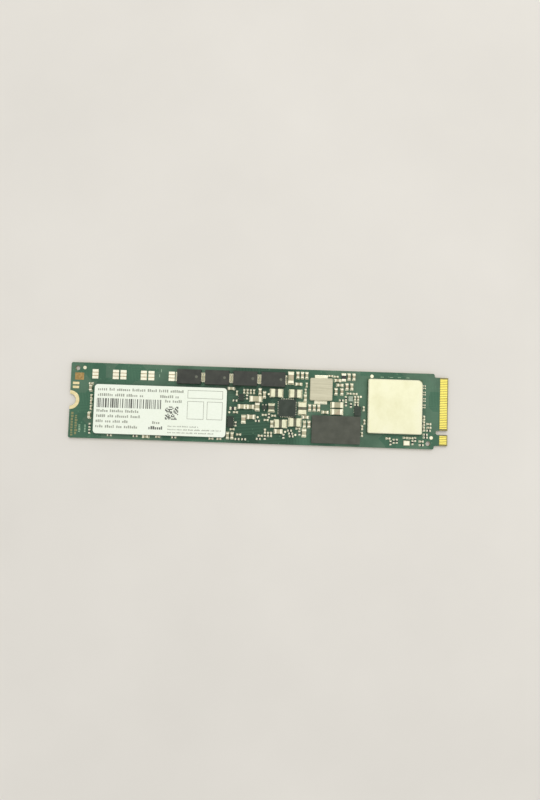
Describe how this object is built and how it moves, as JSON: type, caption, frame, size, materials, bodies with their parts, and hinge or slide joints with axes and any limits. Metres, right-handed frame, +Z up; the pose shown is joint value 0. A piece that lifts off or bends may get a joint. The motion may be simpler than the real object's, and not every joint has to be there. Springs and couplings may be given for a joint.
{
  "type": "gumstick solid state drive",
  "caption": "Slim bare circuit card drive with flash packages under a blank label, lidded controller, power parts, keyed gold edge contacts and a half-round screw notch.",
  "frame": {"origin": "middle of the underside of the card", "axes": "+X along the card to the edge contacts, +Y across the card away from the key notch, +Z up out of the face with the chips"},
  "size_m": [0.11, 0.022, 0.0023],
  "materials": {
    "solder_mask": "semi-gloss green solder mask on glass epoxy",
    "gold_plate": "bright gold plate",
    "bare_copper": "dull bare copper",
    "tinned_pad": "flat tinned dot",
    "solder": "satin solder",
    "solder_ball": "satin solder",
    "tinned_metal": "bright tin",
    "package_mould": "matt moulding compound",
    "grey_mould": "matt grey moulding compound",
    "capacitor_mould": "matt near-black moulding compound",
    "label_paper": "matt white coated paper",
    "package_substrate": "green laminate",
    "nickel_lid": "satin nickel plate",
    "silicon": "polished silicon",
    "coil_grey": "matt pressed metal powder",
    "coil_dark": "matt pressed metal powder",
    "capacitor_ceramic": "matt tan ceramic",
    "resistor_black": "glazed black",
    "crystal_ceramic": "pale ceramic"
  },
  "bodies": {
    "root": {"bare_land_solder": "solder", "bare_lands": "gold_plate", "blank_label": "label_paper", "boot_chip_body": "package_mould", "boot_chip_leads": "tinned_metal", "bulk_capacitor_bodies": "capacitor_ceramic", "bulk_capacitor_ends": "tinned_metal", "bypass_capacitor_bodies": "capacitor_ceramic", "bypass_capacitor_ends": "tinned_metal", "chip_inductor_bodies": "coil_dark", "chip_inductor_ends": "tinned_metal", "chip_resistor_bodies": "resistor_black", "chip_resistor_ends": "tinned_metal", "circuit_board": "solder_mask", "controller_balls": "solder_ball", "controller_die": "silicon", "controller_lid": "nickel_lid", "controller_substrate": "package_substrate", "coupling_capacitor_bodies": "capacitor_ceramic", "coupling_capacitor_ends": "tinned_metal", "crystal_base": "crystal_ceramic", "crystal_lid": "nickel_lid", "edge_contacts_bottom": "gold_plate", "edge_contacts_top": "gold_plate", "fiducials": "tinned_pad", "filter_capacitor_bodies": "capacitor_ceramic", "filter_capacitor_ends": "tinned_metal", "flash_balls_1": "solder_ball", "flash_balls_2": "solder_ball", "flash_package_1": "package_mould", "flash_package_2": "package_mould", "ground_pad": "bare_copper", "holdup_capacitor_1_body": "capacitor_mould", "holdup_capacitor_1_leads": "tinned_metal", "holdup_capacitor_2_body": "capacitor_mould", "holdup_capacitor_2_leads": "tinned_metal", "holdup_capacitor_3_body": "capacitor_mould", "holdup_capacitor_3_leads": "tinned_metal", "holdup_capacitor_4_body": "capacitor_mould", "holdup_capacitor_4_leads": "tinned_metal", "memory_balls": "solder_ball", "memory_package": "package_mould", "mount_plating": "gold_plate", "power_chip_body": "package_mould", "power_chip_leads": "tinned_metal", "power_inductor_body": "coil_grey", "power_inductor_feet": "tinned_metal", "sensor_chip_body": "grey_mould", "sensor_chip_leads": "tinned_metal", "service_pads": "gold_plate", "small_capacitor_bodies": "capacitor_ceramic", "small_capacitor_ends": "tinned_metal", "switch_chip_body": "package_mould", "switch_chip_leads": "tinned_metal", "test_pads": "gold_plate", "timer_chip_body": "grey_mould", "timer_chip_leads": "tinned_metal", "transistor_body": "package_mould", "transistor_leads": "tinned_metal"}
  },
  "joints": []
}
